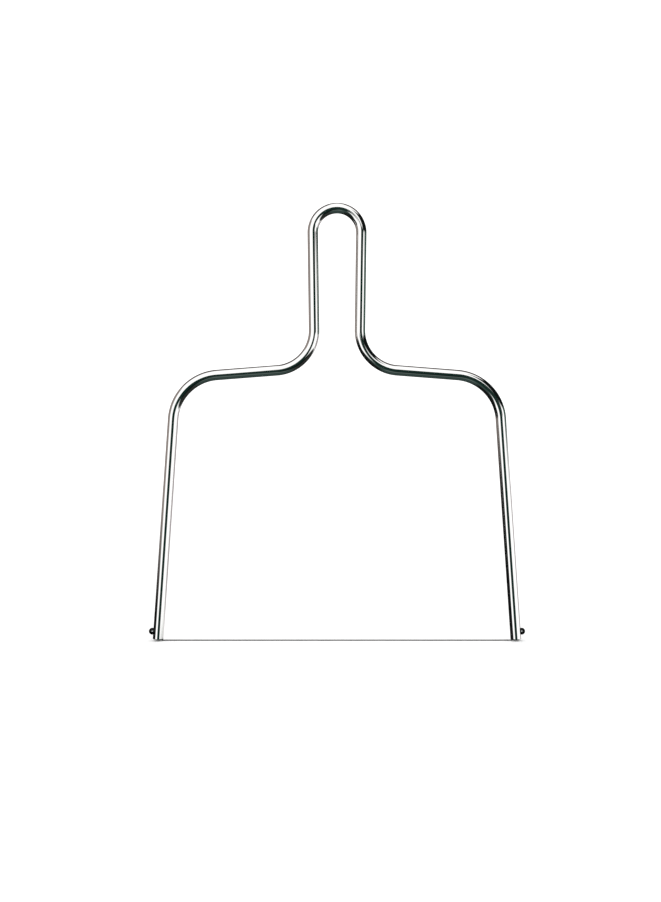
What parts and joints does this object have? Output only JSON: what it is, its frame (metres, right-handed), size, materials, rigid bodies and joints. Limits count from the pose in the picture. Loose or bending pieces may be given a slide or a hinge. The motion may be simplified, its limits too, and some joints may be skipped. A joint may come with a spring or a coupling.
{
  "type": "cheese wire cutter",
  "caption": "Bow of bent polished steel tube with a loop handle, holding a taut cutting wire across its mouth by balls crimped on the wire's ends.",
  "frame": {"origin": "centre of the underside of the whole cutter, midway along the wire", "axes": "+Z from the wire up to the handle's loop, X along the wire, +Y through the flat of the bow, away from the viewer"},
  "size_m": [0.3472, 0.01, 0.404],
  "materials": {
    "polished_tube": "mirror-polished stainless steel",
    "drawn_wire": "hard-drawn stainless spring wire",
    "ball_steel": "dark polished hardened steel"
  },
  "bodies": {
    "root": {"bow_frame": "polished_tube", "cutting_wire": "drawn_wire", "left_ball_end": "ball_steel", "right_ball_end": "ball_steel"}
  },
  "joints": []
}
